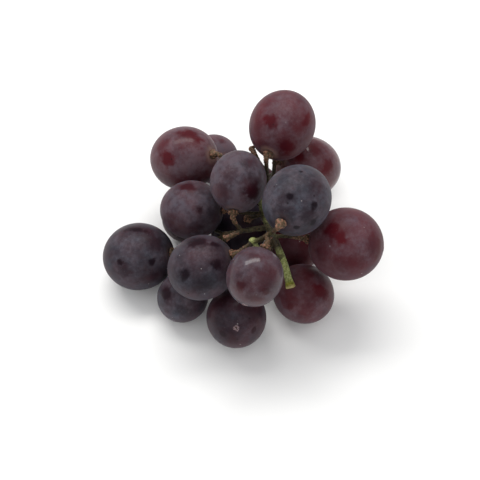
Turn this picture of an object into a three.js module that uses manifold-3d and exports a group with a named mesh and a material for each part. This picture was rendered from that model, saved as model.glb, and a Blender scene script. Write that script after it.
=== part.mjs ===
// A bunch of large dark table grapes lying on its side: nineteen berries on one branched stem.
import * as THREE from 'three';
import { mergeVertices } from 'three/addons/utils/BufferGeometryUtils.js';
import Module from 'manifold-3d';

const wasm = await Module();
wasm.setup();

// All sizes are in millimetres, with +Z up and the table at z = 0.
// The places below are measured from a point on the table near the middle of the bunch,
// and the whole bunch is moved so that the middle of its box stands over the origin.
const bunchMiddle = [-1.0, -1.7];

// Berries: rings from end to end, sides round the middle
const berryRings = 10;
const berrySides = 18;

// Each berry ends in a shallow dimple where its stalk enters, and the stalk's cap stands just clear of it.
const dimpleDepth = 0.8;
const dimpleRadius = 3;
const capGap = 0.3;

// A berry's stalk and the warty cap at its end, whose outline is given as shares of its radius and height.
// The stalk's line starts inside the cap and leaves it straight.
const stalkRadius = 0.8;
const capRadius = 2.1;
const bareCapRadius = 1.3;
const capHeight = 2.2;
const capOutline = [[0, 0], [0.85, 0], [1, 0.3], [0.7, 0.7], [0.38, 1], [0, 1]];
const stalkRootShare = 0.6;
const stalkLeaveShare = 1.1;

// The main stem with its flared cut end, and the side branches
const stemRadius = 1.5;
const branchRadius = 1.1;
const flareRadius = 2.1;
const flareLength = 5;
const flareOutline = [[0, 0], [1, 0], [0.95, 0.3], [0.68, 1], [0, 1]];

const stemSides = 8;
const stalkSides = 6;
const stepsToEachPoint = 2;
const swellingRings = 6;

const skinColour = 0x44303f;
const redSkinColour = 0x4f2a36;
const blueSkinColour = 0x4a4658;
const stemColour = 0x93a04c;

// Named places on the stem: its cut end, the foot of the low branch, its far end and the forks of its branches
const stemCut = [20, -40, 28];
const lowFoot = [14, -21, 33.6];
const crown = [9, -2, 35.3];
const topFork = [11.5, 1.2, 41.5];
const backFork = [7.5, 13, 30.5];
const leftFork = [-6, -14.5, 28.5];
const lowFork = [8.5, -23.5, 20];
const frontFork = [5, -28, 42];
const upperFork = [11, -30.5, 49.5];

// Each berry: centre, half width, half length, direction from the centre to the stem end, and the way its
// stalk takes from there to the stem. The berries that carry the bunch rest on the table on small flat spots.
const berries = [
  {
    name: 'berry_top', colour: redSkinColour,
    centre: [17.3, 19.3, 58.2], halfWidth: 13.7, halfLength: 15.1, toStem: [-0.4, -0.9, -0.19],
    stalkTo: [[11.2, 4, 46], topFork],
  },
  {
    name: 'berry_upper_left', colour: redSkinColour,
    centre: [-24.7, 24.5, 33], halfWidth: 14.3, halfLength: 16, toStem: [0.82, -0.3, 0.48],
    stalkTo: [[-2, 14, 38], [8, 6, 32.8]],
  },
  {
    name: 'berry_back_left', colour: skinColour,
    centre: [-12.5, 42, 14], halfWidth: 12, halfLength: 12.8, toStem: [0.38, -0.69, 0.61],
    stalkTo: [[-1, 22, 27.5], backFork],
  },
  {
    name: 'berry_upper_middle', colour: skinColour,
    centre: [-0.7, -2.5, 48.2], halfWidth: 11.6, halfLength: 13, toStem: [-0.15, -0.92, -0.36],
    stalkTo: [[1, -19, 37.5], [10, -15, 34.5]],
  },
  {
    name: 'berry_middle_left', colour: skinColour,
    centre: [-20.2, -4, 32], halfWidth: 12.6, halfLength: 13.7, toStem: [0.98, -0.1, 0.15],
    stalkTo: [[1, -6.5, 33.2], [9.5, -8, 34.5]],
  },
  {
    name: 'berry_far_left', colour: skinColour, rests: true,
    centre: [-43.5, -15.5, 14.4], halfWidth: 14.7, halfLength: 15.8, toStem: [0.93, -0.11, 0.34],
    stalkTo: [[-18, -17, 23.5], leftFork],
  },
  {
    name: 'berry_front_left', colour: blueSkinColour,
    centre: [-15, -35, 34.5], halfWidth: 13, halfLength: 13.9, toStem: [0.88, 0.11, 0.46],
    stalkTo: [frontFork],
  },
  {
    name: 'berry_front', colour: blueSkinColour,
    centre: [5.5, -45.5, 44], halfWidth: 10.8, halfLength: 11.6, toStem: [0.35, 0.88, 0.34],
    stalkTo: [upperFork],
  },
  {
    name: 'berry_lower_left', colour: skinColour, rests: true,
    centre: [-24, -33.5, 10.4], halfWidth: 10.8, halfLength: 11.2, toStem: [0.71, 0.27, 0.65],
    stalkTo: [[-10, -23, 22], leftFork],
  },
  {
    name: 'berry_lower_middle', colour: skinColour, rests: true,
    centre: [-1.5, -44.5, 12.4], halfWidth: 12.5, halfLength: 13.6, toStem: [0, 0.75, -0.66],
    stalkTo: [[-0.5, -28, 7], [4, -24.5, 14], lowFork],
  },
  {
    name: 'berry_lower_right', colour: redSkinColour, rests: true,
    centre: [26.5, -33, 12.2], halfWidth: 12.6, halfLength: 13.2, toStem: [-0.88, 0.33, 0.33],
    stalkTo: [lowFork],
  },
  {
    name: 'berry_right', colour: redSkinColour,
    centre: [42, -24.6, 35.9], halfWidth: 14.8, halfLength: 15.2, toStem: [-0.97, 0.2, -0.05],
    stalkTo: [[18, -20, 35], [13.5, -19.5, 34]],
  },
  {
    name: 'berry_upper_right', colour: blueSkinColour,
    centre: [21.5, -19.5, 57], halfWidth: 13.1, halfLength: 15, toStem: [-0.44, -0.88, 0.18],
    stalkTo: [upperFork],
  },
  {
    name: 'berry_back_right', colour: redSkinColour,
    centre: [29.7, 21.2, 31], halfWidth: 13.8, halfLength: 16.2, toStem: [-0.8, -0.25, 0.54],
    stalkTo: [[14, 9, 40], topFork],
  },
  {
    name: 'berry_under_middle', colour: skinColour, rests: true,
    centre: [-0.5, 1.5, 12.8], halfWidth: 13, halfLength: 13.5, toStem: [0.3, -0.33, 0.9],
    stalkTo: [[6, -7, 31], [9.5, -8, 34]],
  },
  {
    name: 'berry_under_right', colour: redSkinColour, rests: true,
    centre: [24.5, -6.5, 13], halfWidth: 12.8, halfLength: 13.6, toStem: [-0.05, -0.1, 0.99],
    stalkTo: [[17, -10, 32], [10, -10.5, 34.5]],
  },
  {
    name: 'berry_under_far_back', colour: skinColour, rests: true,
    centre: [31, 42, 11.7], halfWidth: 12, halfLength: 12.5, toStem: [-0.4, -0.65, 0.63],
    stalkTo: [[16.5, 25.5, 23], backFork],
  },
  {
    name: 'berry_under_left', colour: skinColour, rests: true,
    centre: [-24.6, 8.2, 10.7], halfWidth: 11, halfLength: 11.5, toStem: [0.5, -0.62, 0.6],
    stalkTo: [[-12, -5, 20], leftFork],
  },
  {
    name: 'berry_under_back', colour: skinColour, rests: true,
    centre: [7, 26, 11.3], halfWidth: 11.6, halfLength: 12, toStem: [0.15, -0.58, 0.8],
    stalkTo: [backFork],
  },
];

// The woody parts of the stem: the way each one takes and its radius
const stemParts = [
  { points: [stemCut, [17.4, -30, 31], lowFoot, [10, -9, 34.7], crown], radius: stemRadius },
  { points: [crown, [10.5, 0, 38.5], topFork], radius: branchRadius },
  { points: [crown, [8, 6, 32.5], backFork], radius: branchRadius },
  { points: [[11, -15, 34.3], [2, -14.5, 31.5], leftFork], radius: branchRadius },
  { points: [lowFoot, [11, -23, 26], lowFork], radius: branchRadius },
  { points: [[16.8, -28, 31.8], [10.5, -31, 34], frontFork], radius: branchRadius },
  { points: [frontFork, [7.5, -30, 46], upperFork], radius: branchRadius },
];

// Swellings where stalks and branches leave the stem
const swellings = [
  { centre: crown, radius: 1.9 },
  { centre: topFork, radius: 1.5 },
  { centre: backFork, radius: 1.5 },
  { centre: leftFork, radius: 1.5 },
  { centre: lowFork, radius: 1.5 },
  { centre: frontFork, radius: 1.8 },
  { centre: upperFork, radius: 1.5 },
];

// Bare stalks whose berries have dropped off, each ending in its warty cap
const bareStalks = [
  [[11.2, 4, 46], [8, 10.5, 45.8], [4.7, 17.8, 47]],
  [[1, -19, 37.5], [-3, -21.5, 37.5], [-6.2, -22.6, 36.5]],
];

// A geometry as a closed solid that can be joined and cut
function toSolid(geometry) {
  const bare = geometry.clone();
  bare.deleteAttribute('normal');
  bare.deleteAttribute('uv');
  const merged = mergeVertices(bare, 1e-4);
  return new wasm.Manifold(new wasm.Mesh({
    numProp: 3,
    vertProperties: new Float32Array(merged.attributes.position.array),
    triVerts: new Uint32Array(merged.index.array),
  }));
}

// A solid as a geometry with flat shading normals
function toGeometry(solid) {
  const mesh = solid.getMesh();
  const geometry = new THREE.BufferGeometry();
  geometry.setAttribute('position', new THREE.BufferAttribute(mesh.vertProperties, 3));
  geometry.setIndex(new THREE.BufferAttribute(mesh.triVerts, 1));
  geometry.computeVertexNormals();
  return geometry;
}

function fuse(geometries) {
  return toGeometry(geometries.map(toSolid).reduce((whole, piece) => whole.add(piece)));
}

function vector(point) {
  return new THREE.Vector3(...point);
}

// Turns a shape that stands along +Y so that it points along the direction, and puts its foot at the place
function stand(geometry, place, direction) {
  const turn = new THREE.Quaternion().setFromUnitVectors(new THREE.Vector3(0, 1, 0), direction);
  return geometry.applyQuaternion(turn).translate(place.x, place.y, place.z);
}

// A berry along +Y, from its blossom end to its stem end: an ellipse of revolution with the stalk's dimple
function berryGeometry({ halfWidth, halfLength }) {
  const profile = [];
  for (let ring = 0; ring <= berryRings; ring += 1) {
    const angle = (Math.PI * ring) / berryRings;
    const radius = ring === 0 || ring === berryRings ? 0 : halfWidth * Math.sin(angle);
    const dimple = angle > Math.PI / 2 ? dimpleDepth * Math.exp(-((radius / dimpleRadius) ** 2)) : 0;
    profile.push(new THREE.Vector2(radius, -halfLength * Math.cos(angle) - dimple));
  }
  return new THREE.LatheGeometry(profile, berrySides);
}

// Cuts the small flat spot on which a berry rests on the table
function cutFlatSpot(mesh) {
  const cutterSide = 60;
  const below = new THREE.BoxGeometry(cutterSide, cutterSide, cutterSide);
  below.translate(mesh.position.x, mesh.position.y, -cutterSide / 2);
  below.applyMatrix4(mesh.matrix.clone().invert());
  mesh.geometry = toGeometry(toSolid(mesh.geometry).subtract(toSolid(below)));
}

function makeBerry(berry) {
  const skin = new THREE.MeshStandardMaterial({ color: berry.colour, roughness: 0.5, metalness: 0 });
  const mesh = new THREE.Mesh(berryGeometry(berry), skin);
  mesh.name = berry.name;
  mesh.position.set(...berry.centre);
  mesh.quaternion.setFromUnitVectors(new THREE.Vector3(0, 1, 0), vector(berry.toStem).normalize());
  mesh.updateMatrix();
  if (berry.rests) cutFlatSpot(mesh);
  return mesh;
}

function tube(points, radius, sides) {
  const outline = new THREE.Shape();
  for (let side = 0; side < sides; side += 1) {
    const angle = (2 * Math.PI * side) / sides;
    const corner = [radius * Math.cos(angle), radius * Math.sin(angle)];
    if (side === 0) outline.moveTo(...corner);
    else outline.lineTo(...corner);
  }
  outline.closePath();
  const path = new THREE.CatmullRomCurve3(points.map(vector), false, 'centripetal');
  const steps = stepsToEachPoint * (points.length - 1);
  return new THREE.ExtrudeGeometry(outline, { steps, extrudePath: path, curveSegments: 1 });
}

// A turned shape whose broad end stands at the foot and which narrows along the direction
function turned(outline, radius, height, foot, direction) {
  const profile = outline.map(([across, up]) => new THREE.Vector2(across * radius, up * height));
  return stand(new THREE.LatheGeometry(profile, stemSides), foot, direction);
}

function cap(foot, direction, radius) {
  return turned(capOutline, radius, capHeight, foot, direction);
}

// A berry's cap and the stalk that runs from it to the stem
function berryStalk(berry) {
  const outward = vector(berry.toStem).normalize();
  const stemEnd = berry.halfLength - dimpleDepth + capGap;
  const foot = vector(berry.centre).addScaledVector(outward, stemEnd);
  const root = foot.clone().addScaledVector(outward, capHeight * stalkRootShare);
  const leave = foot.clone().addScaledVector(outward, capHeight * stalkLeaveShare);
  const points = [root.toArray(), leave.toArray(), ...berry.stalkTo];
  return [cap(foot, outward, capRadius), tube(points, stalkRadius, stalkSides)];
}

function bareStalk(points) {
  const end = vector(points.at(-1));
  const inward = vector(points.at(-2)).sub(end).normalize();
  return [cap(end, inward, bareCapRadius), tube(points, stalkRadius, stalkSides)];
}

// The cut end of the main stem, a little wider than the stem itself
function cutEnd() {
  const [end, next] = stemParts[0].points.map(vector);
  const inward = next.sub(end).normalize();
  return turned(flareOutline, flareRadius, flareLength, end, inward);
}

function swelling({ centre, radius }) {
  return new THREE.SphereGeometry(radius, stemSides, swellingRings).translate(...centre);
}

function makeStem() {
  const bark = new THREE.MeshStandardMaterial({ color: stemColour, roughness: 0.7, metalness: 0 });
  const geometry = fuse([
    ...stemParts.map(({ points, radius }) => tube(points, radius, stemSides)),
    cutEnd(),
    ...swellings.map(swelling),
    ...bareStalks.flatMap(bareStalk),
    ...berries.flatMap(berryStalk),
  ]);
  const mesh = new THREE.Mesh(geometry, bark);
  mesh.name = 'stem';
  return mesh;
}

const bunch = new THREE.Group();
bunch.name = 'bunch_of_grapes';
bunch.add(...berries.map(makeBerry));
bunch.add(makeStem());
bunch.position.set(-bunchMiddle[0], -bunchMiddle[1], 0);

export default bunch;
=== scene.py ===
# A bunch of large dark table grapes lying on its side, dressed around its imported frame.
import math
import random

import bmesh
import bpy
from mathutils import Matrix, Quaternion, Vector, kdtree, noise


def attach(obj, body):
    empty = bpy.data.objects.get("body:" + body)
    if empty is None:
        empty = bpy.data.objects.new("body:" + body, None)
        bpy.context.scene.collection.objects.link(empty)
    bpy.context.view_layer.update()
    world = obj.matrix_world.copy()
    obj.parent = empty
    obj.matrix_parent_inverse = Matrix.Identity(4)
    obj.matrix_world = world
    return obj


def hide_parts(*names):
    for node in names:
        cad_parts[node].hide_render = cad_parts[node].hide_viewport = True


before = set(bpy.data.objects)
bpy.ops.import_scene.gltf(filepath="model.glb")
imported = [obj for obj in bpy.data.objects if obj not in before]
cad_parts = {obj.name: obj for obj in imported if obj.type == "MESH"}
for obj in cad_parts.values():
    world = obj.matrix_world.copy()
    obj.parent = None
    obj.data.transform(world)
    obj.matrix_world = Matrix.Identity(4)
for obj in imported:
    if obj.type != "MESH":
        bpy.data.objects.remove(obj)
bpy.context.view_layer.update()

MM = 0.001

# The studio: an even pale room that looks dimmer in reflections, a long narrow window and a plain floor,
# in metres and watts
ROOM_STRENGTH = 0.9
REFLECTED_ROOM_STRENGTH = 0.3
ROOM_COLOUR = (0.98, 0.985, 1.0, 1)
WINDOW_SIDE = Vector((-0.17, 0.405, 0.898))
WINDOW_DISTANCE = 0.9
WINDOW_SIZE = (0.85, 0.24)
WINDOW_ROLL = math.radians(-15)
WINDOW_POWER = 5.5
WINDOW_COLOUR = (1.0, 0.99, 0.97)
FLOOR_HALF_SIDE = 1.5
FLOOR_DEPTH = 0.00002
FLOOR_COLOUR = (0.86, 0.86, 0.85, 1)
FLOOR_ROUGHNESS = 0.6

# Places are in millimetres from a point on the table near the middle of the bunch, as in the part's source.
# The frame's origin is under the middle of the bunch's box.
BUNCH_MIDDLE = Vector((-1.0, -1.7, 0.0))

# The camera: lens and frame width in millimetres, the frame in pixels, and where it stands
LENS = 52.5
SENSOR = 36.0
FRAME_PIXELS = 480
CAMERA_ELEVATION = math.radians(53.43)
CAMERA_DISTANCE = 324.5
CAMERA_TARGET = Vector((0.0, 4.0, 0.0))

# The berries' mesh: rings from end to end, sides round the middle
RINGS = 72
SIDES = 88
POLE_CROWDING = 0.7

# Every berry ends in the dimple of the part's source, and has a small scar where its flower stood
DIMPLE_DEPTH = 0.8
DIMPLE_RADIUS = 3.0
CAP_GAP = 0.3
SCAR_RADIUS = 0.75
SCAR_HEIGHT = 0.1
SCAR_RIM_WIDTH = 0.35 * SCAR_RADIUS
SCAR_MIDDLE_WIDTH = 0.5 * SCAR_RADIUS

# How far the finished skin stays inside the smooth ellipsoid, and how uneven it is. Each berry takes its
# unevenness, and the noise of its material, from another place of the noise.
SKIN_INSET = 0.12
UNEVENNESS = 0.22
UNEVENNESS_LENGTH = 14.0
UNEVENNESS_STEP_X = 7.3
UNEVENNESS_STEP_Y = 3.1
SEED_STEP = 1.7

# Random marks for each berry's hidden side: how many spots and patches are drawn, and their least and
# largest sizes. A mark is kept where the cosine between the skin's outward direction and the camera's is
# below HIDDEN_SIDE.
HIDDEN_MARKS = 5
HIDDEN_SPOT_ACROSS = (2.4, 5.0)
HIDDEN_SPOT_ALONG = (2.0, 4.0)
HIDDEN_PATCH_ACROSS = (6.0, 14.0)
HIDDEN_PATCH_ALONG = (4.0, 8.0)
HIDDEN_SIDE = -0.05

# The skin's colours, bare and under its bloom
DARK_SKIN = (0.010, 0.006, 0.010, 1)
RED_SKIN = (0.085, 0.006, 0.010, 1)
DARK_SPOT = (0.007, 0.004, 0.007, 1)
STALK_RING = (0.36, 0.22, 0.17, 1)
COOL_WAX = (0.108, 0.116, 0.146, 1)
WARM_WAX = (0.172, 0.112, 0.128, 1)
PORE = (0.22, 0.16, 0.14, 1)
DUST = (0.42, 0.38, 0.38, 1)
FLECK = (0.015, 0.008, 0.010, 1)
SCAR_RING = (0.38, 0.27, 0.28, 1)
SCAR_MIDDLE = (0.05, 0.025, 0.015, 1)

# How strongly each layer of the skin shows, and how much bloom each kind of thin place loses, from 0 to 1
WAX_STRENGTH = 0.55
SPOT_LOSS = 0.97
PATCH_LOSS = 0.68
STALK_RING_LOSS = 0.3
STALK_RING_STRENGTH = 0.7
DARK_SPOT_STRENGTH = 0.7
PORE_STRENGTH = 0.3
DUST_STRENGTH = 0.55
FLECK_STRENGTH = 0.75
SCAR_RING_STRENGTH = 0.6

# The fine relief of the skin and of the bark, in millimetres, and how much of the skin's is powder and mottle
SKIN_RELIEF = 0.05
BARK_RELIEF = 0.12
POWDER_SHARE = 0.35
MOTTLE_SHARE = 0.65

# How rough all the noise is, how far the ring round a stalk wobbles in millimetres, and how far the noise
# that tints the wax is from the berry's other noise
GRAIN_ROUGHNESS = 0.55
STALK_RING_WOBBLE = 1.5
WAX_SEED_SHIFT = 40.0

# The stem's colours, each from deep to pale, and how strongly its warts show
GREENS = ((0.120, 0.135, 0.025, 1), (0.40, 0.43, 0.17, 1))
# The browns are kept near black so the inner branches look as dark as in shade: painted shade over the stem's
# real brown.
BROWNS_AND_PAINTED_SHADE = ((0.008, 0.006, 0.002, 1), (0.060, 0.040, 0.015, 1))
TANS = ((0.035, 0.022, 0.010, 1), (0.150, 0.092, 0.045, 1))
FRESH_CUTS = ((0.085, 0.085, 0.003, 1), (0.26, 0.25, 0.02, 1))
DRY_RIMS = ((0.20, 0.15, 0.06, 1), (0.62, 0.48, 0.27, 1))
WART = (0.255, 0.118, 0.072, 1)
WART_STRENGTH = 0.8

# The stem's sizes, as in the part's source
STALK_RADIUS = 0.8
CAP_RADIUS = 2.1
BARE_CAP_RADIUS = 1.3
CAP_HEIGHT = 2.2
STEM_RADIUS = 1.5
BRANCH_RADIUS = 1.1
FLARE_RADIUS = 2.1
FLARE_LENGTH = 5.0
STALK_ROOT_SHARE = 0.6
STALK_LEAVE_SHARE = 1.1

# The stem's finer shape: a cap's outline as shares of its height and radius, how much thicker branches and
# stalks are at their ends and over what lengths, and the mesh
CAP_OUTLINE = [(0.0, 0.8), (0.12, 0.93), (0.3, 1.0), (0.5, 0.88), (0.7, 0.68), (0.88, 0.5), (1.0, 0.42)]
BRANCH_SWELL = 0.12
CAP_END_SWELL = 0.3
CAP_END_LENGTH = 6
STEM_END_SWELL = 0.25
STEM_END_LENGTH = 3
PATH_SPACING = 0.5
TUBE_SIDES = 14
TUBE_UPRIGHT = Vector((0.31, 0.17, 0.93))
SWELLING_STEPS = 12
STEM_VOXEL = 0.24
SMOOTH_ROUNDS = 2
SMOOTH_FACTOR = 0.5

# The bark: warts and grooves in millimetres, and how woody and warty the caps and stalks are
WART_SPACING = 0.66
WART_HEIGHT = 0.55
WART_SPREAD = 0.1
WARTY_SHARE_OF_WOODY = 0.15
GROOVE_SPACING = 1.5
GROOVE_DEPTH = 0.06
CAP_WOODY = 0.9
STALK_LEAST_WOODY = 0.7
STALK_WOODY_LENGTH = 30
STALK_LEAST_WARTY = 0.15
STALK_WARTY_LENGTH = 8

# How looks are blended between the stem's points: square millimetres, points and metres
BLEND_AREA = 0.5
BLEND_POINTS = 3
BLEND_GAP = 0.0001

# Named places on the stem
STEM_CUT = (20, -40, 28)
LOW_FOOT = (14, -21, 33.6)
CROWN = (9, -2, 35.3)
TOP_FORK = (11.5, 1.2, 41.5)
BACK_FORK = (7.5, 13, 30.5)
LEFT_FORK = (-6, -14.5, 28.5)
LOW_FORK = (8.5, -23.5, 20)
FRONT_FORK = (5, -28, 42)
UPPER_FORK = (11, -30.5, 49.5)


def mark(x, y, across, along):
    """A place seen at the photo's pixel x, y, with its size in millimetres across and along the axis."""
    return x, y, across, along


# A berry: centre, half width, half length, direction to its stem end and the way of its stalk, as in the
# part's source. red is how red its skin is and gloss how polished it is, both from 0 to 1. bloom is how thick
# its wax lies; above 1 it hides more of the thin places.
# In spots the bloom is rubbed off. Patches are larger and softer places where it is thin and the skin shows.
def berry(centre, half_width, half_length, to_stem, stalk_to, bloom, red, gloss=0.0, spots=(), patches=()):
    return {
        "centre": Vector(centre),
        "half_width": half_width,
        "half_length": half_length,
        "to_stem": Vector(to_stem).normalized(),
        "stalk_to": stalk_to,
        "bloom": bloom,
        "red": red,
        "gloss": gloss,
        "spots": spots,
        "patches": patches,
    }


BERRIES = {
    "berry_top": berry(
        (17.3, 19.3, 58.2), 13.7, 15.1, (-0.4, -0.9, -0.19), [(11.2, 4, 46), TOP_FORK],
        bloom=0.82, red=0.74,
        spots=[
            mark(x=270, y=121, across=6.4, along=5.4), mark(x=287, y=148, across=8.6, along=5.4),
            mark(x=308, y=119, across=2.6, along=6.4),
        ],
        patches=[
            mark(x=256, y=124, across=6.0, along=14.0), mark(x=288, y=146, across=14.0, along=9.0),
            mark(x=306, y=122, across=5.0, along=12.0), mark(x=260, y=144, across=9.0, along=6.0),
            mark(x=296, y=128, across=6.0, along=5.0),
        ],
    ),
    "berry_upper_left": berry(
        (-24.7, 24.5, 33), 14.3, 16, (0.82, -0.3, 0.48), [(-2, 14, 38), (8, 6, 32.8)],
        bloom=1.0, red=0.72, gloss=0.12,
        spots=[
            mark(x=190, y=134, across=5.2, along=9.0), mark(x=167, y=159, across=6.8, along=6.4),
        ],
        patches=[
            mark(x=181, y=184, across=7.0, along=18.0), mark(x=160, y=146, across=8.0, along=8.0),
            mark(x=206, y=176, across=8.0, along=8.0), mark(x=186, y=138, across=9.0, along=12.0),
        ],
    ),
    "berry_back_left": berry(
        (-12.5, 42, 14), 12, 12.8, (0.38, -0.69, 0.61), [(-1, 22, 27.5), BACK_FORK],
        bloom=1.5, red=0.6,
        patches=[mark(x=222, y=141, across=6.0, along=4.0)],
    ),
    "berry_upper_middle": berry(
        (-0.7, -2.5, 48.2), 11.6, 13, (-0.15, -0.92, -0.36), [(1, -19, 37.5), (10, -15, 34.5)],
        bloom=1.2, red=0.42,
        spots=[mark(x=254, y=193, across=7.0, along=6.0)],
        patches=[
            mark(x=255, y=188, across=11.0, along=13.0), mark(x=222, y=192, across=7.0, along=9.0),
            mark(x=250, y=162, across=9.0, along=6.0), mark(x=229, y=175, across=7.0, along=7.0),
        ],
    ),
    "berry_middle_left": berry(
        (-20.2, -4, 32), 12.6, 13.7, (0.98, -0.1, 0.15), [(1, -6.5, 33.2), (9.5, -8, 34.5)],
        bloom=0.92, red=0.4,
        spots=[
            mark(x=188, y=186, across=4.0, along=6.4), mark(x=200, y=210, across=3.2, along=3.2),
        ],
        patches=[
            mark(x=188, y=187, across=7.0, along=14.0), mark(x=188, y=231, across=9.0, along=20.0),
            mark(x=214, y=216, across=10.0, along=7.0), mark(x=171, y=222, across=8.0, along=6.0),
        ],
    ),
    "berry_far_left": berry(
        (-43.5, -15.5, 14.4), 14.7, 15.8, (0.93, -0.11, 0.34), [(-18, -17, 23.5), LEFT_FORK],
        bloom=0.74, red=0.3,
        spots=[
            mark(x=120, y=262, across=3.0, along=2.6), mark(x=152, y=262, across=3.0, along=2.6),
            # The long narrow spot on the upper edge darkens that edge: painted shade.
            mark(x=135, y=229, across=2.4, along=12.0),
        ],
        patches=[
            mark(x=134, y=228, across=9.0, along=20.0), mark(x=156, y=242, across=9.0, along=9.0),
            mark(x=150, y=278, across=8.0, along=12.0), mark(x=124, y=270, across=8.0, along=8.0),
        ],
    ),
    "berry_front_left": berry(
        (-15, -35, 34.5), 13, 13.9, (0.88, 0.11, 0.46), [FRONT_FORK],
        bloom=0.65, red=0.28,
        spots=[
            mark(x=197, y=241, across=6.5, along=7.0), mark(x=184, y=275, across=4.4, along=4.2),
            mark(x=217, y=265, across=4.0, along=3.4), mark(x=214, y=244, across=3.0, along=4.0),
        ],
        patches=[
            mark(x=214, y=246, across=6.0, along=7.0), mark(x=219, y=264, across=9.0, along=7.0),
            mark(x=203, y=285, across=7.0, along=12.0), mark(x=199, y=242, across=8.0, along=11.0),
        ],
    ),
    "berry_front": berry(
        (5.5, -45.5, 44), 10.8, 11.6, (0.35, 0.88, 0.34), [UPPER_FORK],
        bloom=0.78, red=0.46, gloss=0.4,
        spots=[
            mark(x=241, y=286, across=3.8, along=3.8), mark(x=266, y=292, across=2.8, along=2.6),
        ],
        patches=[
            mark(x=266, y=275, across=10.0, along=9.0), mark(x=252, y=255, across=10.0, along=4.0),
            mark(x=268, y=286, across=7.0, along=7.0), mark(x=244, y=285, across=7.0, along=7.0),
            mark(x=256, y=300, across=10.0, along=4.0),
        ],
    ),
    "berry_lower_left": berry(
        (-24, -33.5, 10.4), 10.8, 11.2, (0.71, 0.27, 0.65), [(-10, -23, 22), LEFT_FORK],
        bloom=0.9, red=0.36, gloss=0.1,
        spots=[mark(x=165, y=293, across=5.4, along=4.8)],
        patches=[
            mark(x=166, y=293, across=10.0, along=9.0), mark(x=186, y=312, across=10.0, along=6.0),
            mark(x=186, y=290, across=7.0, along=8.0),
        ],
    ),
    "berry_lower_middle": berry(
        (-1.5, -44.5, 12.4), 12.5, 13.6, (0, 0.75, -0.66), [(-0.5, -28, 7), (4, -24.5, 14), LOW_FORK],
        bloom=0.5, red=0.36, gloss=0.06,
        spots=[
            mark(x=222, y=334, across=3.0, along=2.6), mark(x=254, y=330, across=3.0, along=2.6),
        ],
        patches=[
            mark(x=222, y=300, across=12.0, along=7.0), mark(x=256, y=312, across=8.0, along=12.0),
            mark(x=228, y=338, across=12.0, along=7.0), mark(x=214, y=320, across=5.0, along=9.0),
        ],
    ),
    "berry_lower_right": berry(
        (26.5, -33, 12.2), 12.6, 13.2, (-0.88, 0.33, 0.33), [LOW_FORK],
        bloom=0.9, red=0.68, gloss=0.1,
        spots=[
            mark(x=322, y=292, across=4.0, along=8.4), mark(x=290, y=306, across=4.0, along=3.4),
        ],
        patches=[
            mark(x=310, y=270, across=16.0, along=6.0), mark(x=321, y=292, across=8.0, along=14.0),
            mark(x=288, y=298, across=9.0, along=9.0), mark(x=306, y=312, across=12.0, along=6.0),
        ],
    ),
    "berry_right": berry(
        (42, -24.6, 35.9), 14.8, 15.2, (-0.97, 0.2, -0.05), [(18, -20, 35), (13.5, -19.5, 34)],
        bloom=0.84, red=0.68,
        spots=[
            mark(x=332, y=230, across=6.6, along=5.6), mark(x=341, y=238, across=4.6, along=4.4),
            mark(x=380, y=249, across=8.0, along=3.6),
        ],
        patches=[
            mark(x=333, y=232, across=13.0, along=10.0), mark(x=352, y=264, across=8.0, along=18.0),
            mark(x=376, y=248, across=15.0, along=9.0), mark(x=322, y=252, across=9.0, along=8.0),
        ],
    ),
    "berry_upper_right": berry(
        (21.5, -19.5, 57), 13.1, 15, (-0.44, -0.88, 0.18), [UPPER_FORK],
        bloom=0.88, red=0.22,
        spots=[
            mark(x=290, y=196, across=2.6, along=2.4), mark(x=314, y=205, across=3.2, along=3.4),
            mark(x=314, y=222, across=3.2, along=2.4), mark(x=301, y=171, across=1.4, along=1.4),
            mark(x=297, y=228, across=2.0, along=2.0),
        ],
        patches=[
            mark(x=284, y=214, across=10.0, along=7.0), mark(x=308, y=214, across=8.0, along=6.0),
            mark(x=316, y=186, across=8.0, along=8.0), mark(x=286, y=198, across=8.0, along=6.0),
            mark(x=312, y=222, across=9.0, along=6.0),
        ],
    ),
    "berry_back_right": berry(
        (29.7, 21.2, 31), 13.8, 16.2, (-0.8, -0.25, 0.54), [(14, 9, 40), TOP_FORK],
        bloom=0.8, red=0.78, gloss=0.4,
        spots=[
            mark(x=329, y=168, across=6.4, along=6.0), mark(x=313, y=149, across=4.6, along=6.0),
            mark(x=335, y=184, across=4.0, along=4.4), mark(x=300, y=158, across=5.0, along=4.0),
        ],
        patches=[
            mark(x=329, y=168, across=11.0, along=11.0), mark(x=314, y=149, across=9.0, along=12.0),
            mark(x=297, y=154, across=10.0, along=9.0), mark(x=335, y=184, across=8.0, along=8.0),
            mark(x=338, y=158, across=4.0, along=9.0),
        ],
    ),
    "berry_under_middle": berry(
        (-0.5, 1.5, 12.8), 13, 13.5, (0.3, -0.33, 0.9), [(6, -7, 31), (9.5, -8, 34)],
        # Its bloom is kept very thin so its skin is near black: painted shade for the hollow under
        # berry_upper_middle.
        bloom=0.15, red=0.2,
    ),
    "berry_under_right": berry(
        (24.5, -6.5, 13), 12.8, 13.6, (-0.05, -0.1, 0.99), [(17, -10, 32), (10, -10.5, 34.5)],
        # Its bloom is kept thin so its skin is dark: painted shade where it shows between the stem and
        # berry_right.
        bloom=0.32, red=0.72,
    ),
    "berry_under_far_back": berry(
        (31, 42, 11.7), 12, 12.5, (-0.4, -0.65, 0.63), [(16.5, 25.5, 23), BACK_FORK],
        bloom=0.75, red=0.5,
    ),
    "berry_under_left": berry(
        (-24.6, 8.2, 10.7), 11, 11.5, (0.5, -0.62, 0.6), [(-12, -5, 20), LEFT_FORK],
        bloom=0.5, red=0.4,
    ),
    "berry_under_back": berry(
        (7, 26, 11.3), 11.6, 12, (0.15, -0.58, 0.8), [BACK_FORK],
        bloom=0.6, red=0.5,
    ),
}
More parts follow.
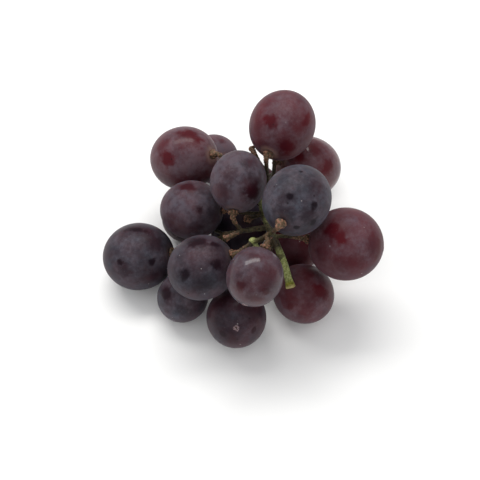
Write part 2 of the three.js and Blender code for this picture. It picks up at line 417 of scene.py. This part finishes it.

# The parts of the stem: the way each takes, its radius, and how brown and woody it is at each of its points,
# from 0, fresh and green, to 1. The main stem at LOW_FOOT and the branch to LEFT_FORK take values near 0.75,
# the darkest brown, as painted shade deep in the bunch.
STEM_PARTS = [
    ([STEM_CUT, (17.4, -30, 31), LOW_FOOT, (10, -9, 34.7), CROWN], STEM_RADIUS, [0.0, 0.3, 0.75, 0.55, 0.4]),
    ([CROWN, (10.5, 0, 38.5), TOP_FORK], BRANCH_RADIUS, [0.4, 0.6, 0.9]),
    ([CROWN, (8, 6, 32.5), BACK_FORK], BRANCH_RADIUS, [0.4, 0.5, 0.6]),
    ([(11, -15, 34.3), (2, -14.5, 31.5), LEFT_FORK], BRANCH_RADIUS, [0.6, 0.7, 0.7]),
    ([LOW_FOOT, (11, -23, 26), LOW_FORK], BRANCH_RADIUS, [0.8, 0.8, 0.6]),
    ([(16.8, -28, 31.8), (10.5, -31, 34), FRONT_FORK], BRANCH_RADIUS, [0.6, 0.8, 0.0]),
    ([FRONT_FORK, (7.5, -30, 46), UPPER_FORK], BRANCH_RADIUS, [0.05, 0.7, 1.0]),
]

# The swellings where branches fork: place, radius and how woody each one is
SWELLINGS = [
    (CROWN, 1.9, 0.4), (TOP_FORK, 1.5, 0.8), (BACK_FORK, 1.5, 0.6), (LEFT_FORK, 1.5, 0.9),
    (LOW_FORK, 1.5, 0.6), (FRONT_FORK, 1.8, 0.0), (UPPER_FORK, 1.5, 0.95),
]

# Bare stalks whose berries have dropped off, each ending in its warty cap
BARE_STALKS = [
    [(11.2, 4, 46), (8, 10.5, 45.8), (4.7, 17.8, 47)],
    [(1, -19, 37.5), (-3, -21.5, 37.5), (-6.2, -22.6, 36.5)],
]


# Small helpers for material nodes

def new_material(name):
    """A material, its tree of nodes and its shader."""
    material = bpy.data.materials.new(name)
    material.use_nodes = True
    tree = material.node_tree
    return material, tree, tree.nodes["Principled BSDF"]


def add_node(tree, kind, **settings):
    node = tree.nodes.new(kind)
    for name, value in settings.items():
        setattr(node, name, value)
    return node


def feed(tree, socket, value):
    """Links an output to a socket, or sets the socket's own value."""
    if isinstance(value, bpy.types.NodeSocket):
        tree.links.new(value, socket)
    else:
        socket.default_value = value


def calc(tree, operation, first, second, clamp=False):
    node = add_node(tree, "ShaderNodeMath", operation=operation, use_clamp=clamp)
    feed(tree, node.inputs[0], first)
    feed(tree, node.inputs[1], second)
    return node.outputs[0]


def plus(tree, first, second, clamp=False):
    return calc(tree, "ADD", first, second, clamp)


def times(tree, first, second, clamp=False):
    return calc(tree, "MULTIPLY", first, second, clamp)


def left_over(tree, share, strength):
    """What is left of 1 after a share of it is taken away at the given strength."""
    return calc(tree, "SUBTRACT", 1.0, times(tree, share, strength))


def mix(tree, share, first, second):
    """A colour between two colours."""
    node = add_node(tree, "ShaderNodeMix", data_type="RGBA")
    feed(tree, node.inputs["Factor"], share)
    feed(tree, node.inputs["A"], first)
    feed(tree, node.inputs["B"], second)
    return node.outputs["Result"]


def step(tree, value, low, high, out_low=0.0, out_high=1.0):
    """A smooth step from out_low to out_high as the value goes from low to high."""
    node = add_node(tree, "ShaderNodeMapRange", interpolation_type="SMOOTHSTEP")
    feed(tree, node.inputs["Value"], value)
    feed(tree, node.inputs["From Min"], low)
    feed(tree, node.inputs["From Max"], high)
    feed(tree, node.inputs["To Min"], out_low)
    feed(tree, node.inputs["To Max"], out_high)
    return node.outputs["Result"]


def attribute(tree, name):
    return add_node(tree, "ShaderNodeAttribute", attribute_name=name).outputs["Fac"]


def grain(tree, length, seed, detail=3.0):
    """Noise whose features are about the given length in millimetres, different for each seed."""
    place = add_node(tree, "ShaderNodeTexCoord").outputs["Object"]
    node = add_node(tree, "ShaderNodeTexNoise", noise_dimensions="4D")
    feed(tree, node.inputs["Vector"], place)
    feed(tree, node.inputs["W"], seed)
    feed(tree, node.inputs["Scale"], 1.0 / (length * MM))
    feed(tree, node.inputs["Detail"], detail)
    feed(tree, node.inputs["Roughness"], GRAIN_ROUGHNESS)
    return node.outputs["Fac"]


def swing(tree, length, seed, width, detail=3.0):
    """The same noise as a swing about zero, as wide as the given width."""
    middle = 0.5
    return times(tree, calc(tree, "SUBTRACT", grain(tree, length, seed, detail), middle), width)


def specks(tree, spacing, size, share):
    """Small round specks: 1 inside a speck, 0 elsewhere. share is how many of the places hold one."""
    place = add_node(tree, "ShaderNodeTexCoord").outputs["Object"]
    node = add_node(tree, "ShaderNodeTexVoronoi")
    feed(tree, node.inputs["Vector"], place)
    feed(tree, node.inputs["Scale"], 1.0 / (spacing * MM))
    edge = size / spacing
    dot = step(tree, node.outputs["Distance"], edge, edge / 2)
    chosen = add_node(tree, "ShaderNodeSeparateColor")
    feed(tree, chosen.inputs["Color"], node.outputs["Color"])
    held = calc(tree, "LESS_THAN", chosen.outputs[0], share)
    return times(tree, dot, held)


def bump(tree, height, distance):
    node = add_node(tree, "ShaderNodeBump")
    feed(tree, node.inputs["Height"], height)
    node.inputs["Distance"].default_value = distance * MM
    return node.outputs["Normal"]


# Camera, floor and light

def camera_axes():
    """The camera's place in layout millimetres, and its right, up and backward directions."""
    back = Vector((0, -math.cos(CAMERA_ELEVATION), math.sin(CAMERA_ELEVATION)))
    right = Vector((1, 0, 0))
    return CAMERA_TARGET + back * CAMERA_DISTANCE, right, back.cross(right), back


def to_frame(point):
    """A place in layout millimetres, as metres in the frame."""
    return (Vector(point) - BUNCH_MIDDLE) * MM


def make_camera():
    place = camera_axes()[0]
    data = bpy.data.cameras.new("camera")
    data.lens = LENS
    data.sensor_width = SENSOR
    camera = bpy.data.objects.new("camera", data)
    camera.location = to_frame(place)
    camera.rotation_euler = (math.pi / 2 - CAMERA_ELEVATION, 0, 0)
    bpy.context.scene.collection.objects.link(camera)
    bpy.context.scene.camera = camera


def make_window():
    """A long narrow light that shines on the bunch from above, turned a little about its own axis."""
    data = bpy.data.lights.new("window", "AREA")
    data.shape = "RECTANGLE"
    data.size, data.size_y = WINDOW_SIZE
    data.energy = WINDOW_POWER
    data.color = WINDOW_COLOUR
    light = bpy.data.objects.new("window", data)
    direction = WINDOW_SIDE.normalized()
    light.location = direction * WINDOW_DISTANCE
    facing = direction.to_track_quat("Z", "Y") @ Quaternion((0, 0, 1), WINDOW_ROLL)
    light.rotation_euler = facing.to_euler()
    bpy.context.scene.collection.objects.link(light)


def make_world():
    """Even pale light from all round; glossy reflections see a dimmer room."""
    world = bpy.data.worlds.new("studio")
    world.use_nodes = True
    tree = world.node_tree
    reflected = add_node(tree, "ShaderNodeLightPath").outputs["Is Glossy Ray"]
    dimming = times(tree, reflected, ROOM_STRENGTH - REFLECTED_ROOM_STRENGTH)
    background = tree.nodes["Background"]
    background.inputs["Color"].default_value = ROOM_COLOUR
    feed(tree, background.inputs["Strength"], calc(tree, "SUBTRACT", ROOM_STRENGTH, dimming))
    bpy.context.scene.world = world


def make_light():
    make_world()
    make_window()
    bpy.context.scene.view_settings.view_transform = "Standard"


def make_floor():
    material, _, surface = new_material("floor")
    surface.inputs["Base Color"].default_value = FLOOR_COLOUR
    surface.inputs["Roughness"].default_value = FLOOR_ROUGHNESS
    mesh = bpy.data.meshes.new("floor")
    half = FLOOR_HALF_SIDE
    corners = [(-half, -half, 0), (half, -half, 0), (half, half, 0), (-half, half, 0)]
    mesh.from_pydata(corners, [], [(0, 1, 2, 3)])
    mesh.materials.append(material)
    floor = bpy.data.objects.new("floor", mesh)
    floor.location.z = -FLOOR_DEPTH
    bpy.context.scene.collection.objects.link(floor)


# Materials

def rubbed_places(tree, seed):
    """Where the bloom is rubbed off: spots with soft uneven edges, and patches that fade away."""
    uneven_edge = swing(tree, length=2.6, seed=seed, width=2.2, detail=5.0)
    spot = step(tree, plus(tree, attribute(tree, "spot"), uneven_edge), low=-0.45, high=0.4)
    patch = step(tree, plus(tree, attribute(tree, "patch"), uneven_edge), low=-0.5, high=0.8)
    return spot, patch


def stalk_ring(tree, seed):
    """The place of a pale yellowish brown ring round the stalk's cap, strong on the redder berries."""
    wobble = times(tree, grain(tree, length=2.5, seed=seed), STALK_RING_WOBBLE)
    from_stem = plus(tree, attribute(tree, "stem_mm"), wobble)
    near = step(tree, from_stem, low=6.0, high=2.8)
    return times(tree, near, step(tree, attribute(tree, "red"), low=0.1, high=0.7))


def bare_skin(tree, seed, spot, ring):
    """The skin itself, from near black purple to wine red; spots on the darker berries are nearly black."""
    patches = swing(tree, length=12.0, seed=seed, width=0.8, detail=2.0)
    redness = step(tree, plus(tree, attribute(tree, "red"), patches), low=0.1, high=1.0)
    skin = mix(tree, redness, DARK_SKIN, RED_SKIN)
    dark_spot = times(tree, spot, step(tree, attribute(tree, "red"), low=0.5, high=0.2))
    skin = mix(tree, times(tree, dark_spot, DARK_SPOT_STRENGTH), skin, DARK_SPOT)
    return mix(tree, times(tree, ring, STALK_RING_STRENGTH), skin, STALK_RING)


def bloom_layers(tree, seed, spot, patch, ring):
    """How thick the bloom lies, with its mottling and its powder. It is gone where it was rubbed off."""
    broad = grain(tree, length=8.0, seed=seed, detail=2.0)
    cover = step(tree, broad, low=0.3, high=0.7, out_low=0.55, out_high=1.15)
    medium = grain(tree, length=1.8, seed=seed, detail=5.0)
    mottle = step(tree, medium, low=0.3, high=0.7, out_low=0.66, out_high=1.2)
    fine = grain(tree, length=0.5, seed=seed, detail=2.0)
    powder = step(tree, fine, low=0.25, high=0.75, out_low=0.86, out_high=1.1)
    kept = times(tree, left_over(tree, spot, SPOT_LOSS), left_over(tree, patch, PATCH_LOSS))
    kept = times(tree, kept, left_over(tree, ring, STALK_RING_LOSS))
    bloom = times(tree, attribute(tree, "bloom"), times(tree, cover, mottle))
    bloom = times(tree, times(tree, bloom, powder), kept, clamp=True)
    return bloom, mottle, powder


def waxed(tree, seed, skin, bloom):
    """The skin under its bloom, whose wax is warmer on the redder berries."""
    tints = swing(tree, length=7.0, seed=plus(tree, seed, WAX_SEED_SHIFT), width=1.6)
    warmth = plus(tree, attribute(tree, "red"), tints, clamp=True)
    wax = mix(tree, warmth, COOL_WAX, WARM_WAX)
    return mix(tree, times(tree, bloom, WAX_STRENGTH), skin, wax)


def speckled(tree, colour):
    """Pale pores and dust, and a few dark flecks."""
    pores = times(tree, specks(tree, spacing=1.5, size=0.16, share=0.5), PORE_STRENGTH)
    colour = mix(tree, pores, colour, PORE)
    dust = times(tree, specks(tree, spacing=4.2, size=0.34, share=0.4), DUST_STRENGTH)
    colour = mix(tree, dust, colour, DUST)
    flecks = times(tree, specks(tree, spacing=5.0, size=0.5, share=0.35), FLECK_STRENGTH)
    return mix(tree, flecks, colour, FLECK)


def scarred(tree, seed, colour):
    """The flower scar's pale ragged ring with its brown middle."""
    ragged = swing(tree, length=0.8, seed=seed, width=2.6, detail=4.0)
    tip = plus(tree, attribute(tree, "tip_mm"), ragged)
    ring = times(tree, step(tree, tip, low=1.5, high=0.7), step(tree, tip, low=0.3, high=0.8))
    colour = mix(tree, times(tree, ring, SCAR_RING_STRENGTH), colour, SCAR_RING)
    return mix(tree, step(tree, tip, low=0.5, high=0.25), colour, SCAR_MIDDLE)


def skin_material():
    """Dark translucent skin under a pale waxy bloom that is rubbed off in spots."""
    material, tree, surface = new_material("grape_skin")
    seed = attribute(tree, "seed")
    spot, patch = rubbed_places(tree, seed)
    ring = stalk_ring(tree, seed)
    skin = bare_skin(tree, seed, spot, ring)
    bloom, mottle, powder = bloom_layers(tree, seed, spot, patch, ring)
    colour = speckled(tree, waxed(tree, seed, skin, bloom))
    feed(tree, surface.inputs["Base Color"], scarred(tree, seed, colour))

    # Rubbed skin is glossier than bloom, and polished berries show crisp highlights
    roughness = step(tree, bloom, low=0.1, high=0.7, out_low=0.32, out_high=0.55)
    feed(tree, surface.inputs["Roughness"], roughness)
    feed(tree, surface.inputs["Coat Weight"], attribute(tree, "gloss"))
    surface.inputs["Coat Roughness"].default_value = 0.12
    surface.inputs["Specular IOR Level"].default_value = 0.1
    surface.inputs["Sheen Weight"].default_value = 0.03
    surface.inputs["Sheen Roughness"].default_value = 0.35
    surface.inputs["Sheen Tint"].default_value = (0.75, 0.78, 1.0, 1)
    surface.inputs["Subsurface Weight"].default_value = 0.12
    surface.inputs["Subsurface Radius"].default_value = (1.0, 0.22, 0.14)
    surface.inputs["Subsurface Scale"].default_value = 3.0 * MM
    height = plus(tree, times(tree, powder, POWDER_SHARE), times(tree, mottle, MOTTLE_SHARE))
    feed(tree, surface.inputs["Normal"], bump(tree, height, SKIN_RELIEF))
    return material


def stem_material():
    """Fresh green stem that turns olive and brown towards the warty caps, with near black browns that paint
    shade on the inner branches.
    """
    material, tree, surface = new_material("grape_stem")
    fine = step(tree, grain(tree, length=0.7, seed=7.0, detail=4.0), low=0.3, high=0.7)
    woody = plus(tree, attribute(tree, "woody"), swing(tree, length=4.0, seed=3.0, width=0.5))
    green = mix(tree, fine, *GREENS)
    # Woodier parts turn to the near black browns: painted shade on the inner branches.
    colour = mix(tree, step(tree, woody, low=0.2, high=0.75), green, mix(tree, fine, *BROWNS_AND_PAINTED_SHADE))
    colour = mix(tree, step(tree, woody, low=0.75, high=1.0), colour, mix(tree, fine, *TANS))
    warts = step(tree, attribute(tree, "wart"), low=0.02, high=0.4)
    colour = mix(tree, times(tree, warts, WART_STRENGTH), colour, WART)

    # The cut end: yellow green, with a pale dry rim
    cut = attribute(tree, "cut")
    colour = mix(tree, step(tree, cut, low=0.1, high=0.6), colour, mix(tree, fine, *FRESH_CUTS))
    colour = mix(tree, step(tree, cut, low=0.76, high=0.92), colour, mix(tree, fine, *DRY_RIMS))
    feed(tree, surface.inputs["Base Color"], colour)
    surface.inputs["Roughness"].default_value = 0.55
    surface.inputs["Specular IOR Level"].default_value = 0.35
    feed(tree, surface.inputs["Normal"], bump(tree, fine, BARK_RELIEF))
    return material


# Berries

def berry_turn(shape):
    """Turns +Z to the berry's stem end."""
    return Vector((0, 0, 1)).rotation_difference(shape["to_stem"])


def seen_point(shape, pixel_x, pixel_y):
    """The point of a berry's skin that the photo shows at a pixel, in the berry's own millimetres."""
    place, right, up, back = camera_axes()
    focal = LENS / SENSOR * FRAME_PIXELS
    middle = FRAME_PIXELS / 2
    ray = right * (pixel_x - middle) / focal - up * (pixel_y - middle) / focal - back
    turn = berry_turn(shape).inverted()
    start = turn @ (place - shape["centre"])
    ray = turn @ ray
    size = Vector((shape["half_width"], shape["half_width"], shape["half_length"]))
    flat_start = Vector([a / b for a, b in zip(start, size)])
    flat_ray = Vector([a / b for a, b in zip(ray, size)])
    nearest = -flat_start.dot(flat_ray) / flat_ray.length_squared
    miss = (flat_start + flat_ray * nearest).length_squared
    reach = math.sqrt(max(0.0, 1 - miss) / flat_ray.length_squared)
    point = flat_start + flat_ray * (nearest - reach)
    return Vector([a * b for a, b in zip(point, size)])


def seen_marks(shape, marks):
    """Marks of the photo as points of the skin with their sizes."""
    return [(seen_point(shape, x, y), across, along) for x, y, across, along in marks]


def hidden_marks(shape, draw, across_range, along_range):
    """Random marks on the side that the photo doesn't show, as points of the skin with their sizes."""
    place = camera_axes()[0]
    turn = berry_turn(shape)
    found = []
    for _ in range(HIDDEN_MARKS):
        direction = Vector((draw.gauss(0, 1), draw.gauss(0, 1), draw.gauss(0, 1))).normalized()
        point = Vector((
            direction.x * shape["half_width"],
            direction.y * shape["half_width"],
            direction.z * shape["half_length"],
        ))
        size = (draw.uniform(*across_range), draw.uniform(*along_range))
        outward = turn @ direction
        if outward.dot((place - shape["centre"]).normalized()) < HIDDEN_SIDE:
            found.append((point, *size))
    return found


def mark_at(point, marks):
    """1 in the middle of the nearest mark, 0 on its edge and down to -1 outside."""
    strongest = -1.0
    near_axis = 0.1
    for middle, across_size, along_size in marks:
        outward = middle.normalized()
        across = Vector((0, 0, 1)).cross(outward)
        across = across.normalized() if across.length > near_axis else Vector((1, 0, 0))
        along = outward.cross(across)
        offset = point - middle
        distance = math.hypot(
            2 * offset.dot(across) / across_size,
            2 * offset.dot(along) / along_size,
            offset.dot(outward) / across_size,
        )
        strongest = max(strongest, 1 - distance)
    return strongest


def berry_ring_angles():
    """Angles from the blossom end to the stem end, closer together at both."""
    for ring in range(1, RINGS):
        share = ring / RINGS
        yield math.pi * (share - POLE_CROWDING * math.sin(2 * math.pi * share) / (2 * math.pi))


def skin_height(radius, angle, shape):
    """How far along the axis the skin lies, with the stalk's dimple and the flower's scar."""
    along = -shape["half_length"] * math.cos(angle)
    if angle > math.pi / 2:
        return along - DIMPLE_DEPTH * math.exp(-((radius / DIMPLE_RADIUS) ** 2))
    rim = math.exp(-(((radius - SCAR_RADIUS) / SCAR_RIM_WIDTH) ** 2))
    return along - SCAR_HEIGHT * rim + SCAR_HEIGHT * math.exp(-((radius / SCAR_MIDDLE_WIDTH) ** 2))


def uneven(point, seed):
    """A point of the smooth skin, moved inwards by an uneven little."""
    shift = Vector((seed * UNEVENNESS_STEP_X, seed * UNEVENNESS_STEP_Y, 0))
    wave = noise.noise(point / UNEVENNESS_LENGTH + shift)
    inset = SKIN_INSET + UNEVENNESS * (0.5 + 0.5 * wave)
    return point - point.normalized() * inset


def berry_points(shape, seed):
    """The skin's points in the berry's own millimetres: the blossom end, the rings, the stem end."""
    points = [Vector((0, 0, skin_height(0, 0, shape)))]
    for angle in berry_ring_angles():
        radius = shape["half_width"] * math.sin(angle)
        height = skin_height(radius, angle, shape)
        for side in range(SIDES):
            around = 2 * math.pi * side / SIDES
            points.append(Vector((radius * math.cos(around), radius * math.sin(around), height)))
    points.append(Vector((0, 0, skin_height(0, math.pi, shape))))
    return [uneven(point, seed) for point in points]


def berry_faces():
    last = 1 + (RINGS - 1) * SIDES
    faces = []
    for side in range(SIDES):
        after = (side + 1) % SIDES
        faces.append((0, 1 + after, 1 + side))
        for ring in range(RINGS - 2):
            low = 1 + ring * SIDES
            faces.append((low + side, low + after, low + SIDES + after, low + SIDES + side))
        faces.append((last, last - SIDES + side, last - SIDES + after))
    return faces


def add_values(mesh, name, values):
    layer = mesh.attributes.new(name, "FLOAT", "POINT")
    layer.data.foreach_set("value", values)


def berry_looks(shape, points, seed):
    """What the skin's material reads at each point: nearness to marks and ends, and the berry's own looks."""
    draw = random.Random(seed)
    spots = seen_marks(shape, shape["spots"])
    patches = seen_marks(shape, shape["patches"])
    spots += hidden_marks(shape, draw, HIDDEN_SPOT_ACROSS, HIDDEN_SPOT_ALONG)
    patches += hidden_marks(shape, draw, HIDDEN_PATCH_ACROSS, HIDDEN_PATCH_ALONG)
    top = Vector((0, 0, shape["half_length"]))
    looks = {
        "spot": [mark_at(point, spots) for point in points],
        "patch": [mark_at(point, patches) for point in points],
        "stem_mm": [(point - top).length for point in points],
        "tip_mm": [(point + top).length for point in points],
        "seed": [seed * SEED_STEP] * len(points),
    }
    for look in ("bloom", "red", "gloss"):
        looks[look] = [shape[look]] * len(points)
    return looks


def make_berry(name, shape, seed, material):
    turn = berry_turn(shape)
    points = berry_points(shape, seed)
    middle = to_frame(shape["centre"])
    places = []
    for point in points:
        place = to_frame(turn @ point + shape["centre"])
        place.z = max(place.z, 0.0)
        places.append(place - middle)
    mesh = bpy.data.meshes.new(name + "_skin")
    mesh.from_pydata(places, [], berry_faces())
    mesh.shade_smooth()
    for look, values in berry_looks(shape, points, seed).items():
        add_values(mesh, look, values)
    mesh.materials.append(material)
    piece = bpy.data.objects.new(name + "_skin", mesh)
    piece.location = middle
    bpy.context.scene.collection.objects.link(piece)
    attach(piece, "root")
    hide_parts(name)


# Stem

def smooth_path(points):
    """Points along a centripetal Catmull-Rom curve, as the part's source draws it."""
    points = [Vector(point) for point in points]
    points = [2 * points[0] - points[1]] + points + [2 * points[-1] - points[-2]]
    path = []
    for before, start, end, after in zip(points, points[1:], points[2:], points[3:]):
        first = math.sqrt((start - before).length)
        second = math.sqrt((end - start).length)
        third = math.sqrt((after - end).length)
        leave = (start - before) / first - (end - before) / (first + second) + (end - start) / second
        arrive = (end - start) / second - (after - start) / (second + third) + (after - end) / third
        leave *= second
        arrive *= second
        steps = max(2, round((end - start).length / PATH_SPACING))
        for step_number in range(steps):
            share = step_number / steps
            path.append(
                (2 * share ** 3 - 3 * share ** 2 + 1) * start
                + (share ** 3 - 2 * share ** 2 + share) * leave
                + (3 * share ** 2 - 2 * share ** 3) * end
                + (share ** 3 - share ** 2) * arrive
            )
    path.append(points[-2])
    return path


def sweep(mesh, path, radii):
    """Adds a closed tube round the path, with its own radius at each point."""
    rings = []
    for number, (point, radius) in enumerate(zip(path, radii)):
        ahead = path[min(number + 1, len(path) - 1)] - path[max(number - 1, 0)]
        across = ahead.cross(TUBE_UPRIGHT).normalized()
        over = across.cross(ahead.normalized())
        ring = []
        for side in range(TUBE_SIDES):
            angle = 2 * math.pi * side / TUBE_SIDES
            ring.append(mesh.verts.new(point + (across * math.cos(angle) + over * math.sin(angle)) * radius))
        rings.append(ring)
    for ring, following in zip(rings, rings[1:]):
        for side in range(TUBE_SIDES):
            after = (side + 1) % TUBE_SIDES
            mesh.faces.new((ring[side], ring[after], following[after], following[side]))
    mesh.faces.new(list(reversed(rings[0])))
    mesh.faces.new(rings[-1])


def value_along(points, values, place):
    """The value at a place on a path, blended from those of the path's points by how near each one is."""
    weights = [1 / ((Vector(point) - place).length_squared + BLEND_AREA) for point in points]
    return sum(weight * value for weight, value in zip(weights, values)) / sum(weights)


# A run of the stem is its path and its radii, and how woody, warty and freshly cut it is at each point

def woody_run(points, radius, woods):
    """One of the stem's woody parts, a little thicker at both ends."""
    path = smooth_path(points)
    last = len(path) - 1
    radii = [radius * (1.0 + BRANCH_SWELL * math.cos(2 * math.pi * i / last)) for i in range(last + 1)]
    woody = [value_along(points, woods, point) for point in path]
    warty = [WARTY_SHARE_OF_WOODY * value for value in woody]
    return path, radii, woody, warty, [0.0] * (last + 1)


def flare_cut_end(run):
    """Widens the main stem towards its cut end."""
    path, radii, _, _, cut = run
    for i, point in enumerate(path):
        share = max(0.0, 1 - (point - path[0]).length / FLARE_LENGTH)
        radii[i] = STEM_RADIUS * (1 - share ** 2) + FLARE_RADIUS * share ** 2
        cut[i] = share ** 2


def swelling_run(centre, radius, woody):
    """A ball, swept from a little above its lowest point to a little below its highest."""
    half = SWELLING_STEPS // 2
    angles = [number * math.pi / SWELLING_STEPS for number in range(1 - half, half)]
    ball = [Vector(centre) + Vector((0, 0, radius * math.sin(angle))) for angle in angles]
    radii = [radius * math.cos(angle) for angle in angles]
    count = len(angles)
    return ball, radii, [woody] * count, [WARTY_SHARE_OF_WOODY * woody] * count, [0.0] * count


def cap_run(foot, direction, radius):
    """A warty cap as a short tube: broad at its foot, narrow where the stalk leaves it."""
    path = [foot + direction * CAP_HEIGHT * up for up, _ in CAP_OUTLINE]
    radii = [radius * across for _, across in CAP_OUTLINE]
    return path, radii, [CAP_WOODY] * len(path), [1.0] * len(path), [0.0] * len(path)


def stalk_run(foot, direction, stalk_to):
    """A stalk from inside its cap to the stem, browner and wartier towards the cap."""
    root = foot + direction * CAP_HEIGHT * STALK_ROOT_SHARE
    leave = foot + direction * CAP_HEIGHT * STALK_LEAVE_SHARE
    path = smooth_path([root, leave, *stalk_to])
    length = sum((b - a).length for a, b in zip(path, path[1:]))
    woody, warty, radii = [], [], []
    gone = 0.0
    for number, point in enumerate(path):
        if number:
            gone += (point - path[number - 1]).length
        woody.append(max(STALK_LEAST_WOODY, 1.0 - gone / STALK_WOODY_LENGTH))
        warty.append(max(STALK_LEAST_WARTY, 1.0 - gone / STALK_WARTY_LENGTH))
        near_cap = max(0.0, 1 - gone / CAP_END_LENGTH)
        near_end = max(0.0, 1 - (length - gone) / STEM_END_LENGTH)
        radii.append(STALK_RADIUS * (1 + CAP_END_SWELL * near_cap + STEM_END_SWELL * near_end))
    return path, radii, woody, warty, [0.0] * len(path)


def stem_runs():
    """Every run of the stem, with the cut end first."""
    runs = [woody_run(*part) for part in STEM_PARTS]
    flare_cut_end(runs[0])
    runs += [swelling_run(*swelling) for swelling in SWELLINGS]
    for shape in BERRIES.values():
        outward = shape["to_stem"]
        foot = shape["centre"] + outward * (shape["half_length"] - DIMPLE_DEPTH + CAP_GAP)
        runs += [cap_run(foot, outward, CAP_RADIUS), stalk_run(foot, outward, shape["stalk_to"])]
    for points in BARE_STALKS:
        foot = Vector(points[-1])
        inward = (Vector(points[-2]) - foot).normalized()
        way = list(reversed(points[:-1]))
        runs += [cap_run(foot, inward, BARE_CAP_RADIUS), stalk_run(foot, inward, way)]
    return runs


def stem_tubes(runs):
    """The runs as overlapping closed tubes, in metres in the frame."""
    rough = bmesh.new()
    for path, radii, *_ in runs:
        sweep(rough, path, radii)
    bmesh.ops.recalc_face_normals(rough, faces=rough.faces)
    rough.transform(Matrix.Translation(-BUNCH_MIDDLE * MM) @ Matrix.Scale(MM, 4))
    mesh = bpy.data.meshes.new("stem_tubes")
    rough.to_mesh(mesh)
    rough.free()
    return mesh


def fused(tubes):
    """The overlapping tubes as one skin."""
    rough = bpy.data.objects.new("stem_tubes", tubes)
    bpy.context.scene.collection.objects.link(rough)
    modifier = rough.modifiers.new("fuse", "REMESH")
    modifier.mode = "VOXEL"
    modifier.voxel_size = STEM_VOXEL * MM
    smooth = rough.modifiers.new("smooth", "SMOOTH")
    smooth.iterations = SMOOTH_ROUNDS
    smooth.factor = SMOOTH_FACTOR
    bpy.context.view_layer.update()
    whole = bpy.data.meshes.new_from_object(rough.evaluated_get(bpy.context.evaluated_depsgraph_get()))
    bpy.data.objects.remove(rough)
    return whole


def look_finder(runs):
    """A search tree of all the runs' points, and how woody, warty and cut each of them is."""
    tree = kdtree.KDTree(sum(len(path) for path, *_ in runs))
    looks = []
    for path, _, woody, warty, cut in runs:
        for point, *look in zip(path, woody, warty, cut):
            tree.insert(to_frame(point), len(looks))
            looks.append(look)
    tree.balance()
    return tree, looks


def weather_bark(mesh, runs):
    """Gives each point the look of the run that it lies on, and raises the warts and grooves."""
    tree, looks = look_finder(runs)
    woods, warts, cuts = [], [], []
    for vertex, normal in zip(mesh.vertices, [v.normal.copy() for v in mesh.vertices]):
        near = tree.find_n(vertex.co, BLEND_POINTS)
        weights = [1 / (gap + BLEND_GAP) for _, _, gap in near]
        woody, warty, cut = [
            sum(w * looks[index][kind] for w, (_, index, _) in zip(weights, near)) / sum(weights)
            for kind in range(3)
        ]
        place = vertex.co / MM
        lump = max(0.0, noise.noise(place / WART_SPACING) + WART_SPREAD)
        groove = noise.noise(place / GROOVE_SPACING)
        lift = warty * WART_HEIGHT * lump + GROOVE_DEPTH * groove
        vertex.co += normal * lift * MM
        woods.append(woody)
        warts.append(warty * lump)
        cuts.append(cut)
    add_values(mesh, "woody", woods)
    add_values(mesh, "wart", warts)
    add_values(mesh, "cut", cuts)


def make_stem(material):
    runs = stem_runs()
    mesh = fused(stem_tubes(runs))
    weather_bark(mesh, runs)
    mesh.shade_smooth()
    mesh.name = "stem_bark"
    mesh.materials.clear()
    mesh.materials.append(material)
    piece = bpy.data.objects.new("stem_bark", mesh)
    bpy.context.scene.collection.objects.link(piece)
    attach(piece, "root")
    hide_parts("stem")


make_camera()
make_light()
make_floor()
skin = skin_material()
for number, (name, shape) in enumerate(BERRIES.items()):
    make_berry(name, shape, number + 1, skin)
make_stem(stem_material())
